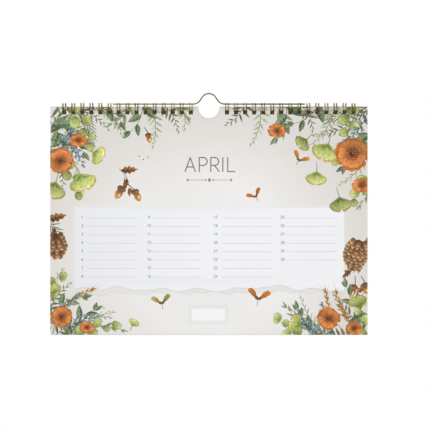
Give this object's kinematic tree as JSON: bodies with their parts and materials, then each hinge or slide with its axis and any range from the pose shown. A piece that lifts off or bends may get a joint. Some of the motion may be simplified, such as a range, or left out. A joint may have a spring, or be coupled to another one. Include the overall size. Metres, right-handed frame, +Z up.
{
  "type": "wall calendar",
  "caption": "Landscape perpetual birthday calendar, twin-loop wire bound along the top, with a thumb notch and a wire hanger.",
  "frame": {"origin": "the point under the crown of the hook that bears on the nail, midway across the sheet", "axes": "+Z up, +X to the right along the binding, -Y towards the reader and +Y towards the wall"},
  "size_m": [0.297, 0.0088, 0.2266],
  "materials": {
    "printed_paper": "uncoated, printed",
    "grey_board": "solid grey board",
    "turned_paper": "uncoated, plain back",
    "binding_wire": "satin antique gold",
    "hanger_wire": "satin antique gold"
  },
  "bodies": {
    "hanger": {"hanger": "hanger_wire"},
    "binding": {"wire_binding_left": "binding_wire", "wire_binding_right": "binding_wire"},
    "board": {"backing_board": "grey_board"},
    "leaves": {"month_leaves": "printed_paper"},
    "turned": {"turned_leaves": "turned_paper"}
  },
  "joints": [
    {"name": "hanger_swing", "type": "hinge", "parent": "hanger", "child": "binding", "pos_m": [0, 0, -0.0092], "axis": [1, 0, 0], "range_deg": [-60, 60]},
    {"name": "board_lift", "type": "hinge", "parent": "binding", "child": "board", "pos_m": [0, 0, -0.01205], "axis": [-1, 0, 0], "range_deg": [0, 30]},
    {"name": "leaves_lift", "type": "hinge", "parent": "board", "child": "leaves", "pos_m": [0, 0, -0.01205], "axis": [-1, 0, 0], "range_deg": [0, 90]},
    {"name": "turned_leaves_lift", "type": "hinge", "parent": "binding", "child": "turned", "pos_m": [0, 0, -0.01205], "axis": [1, 0, 0], "range_deg": [0, 50]}
  ]
}
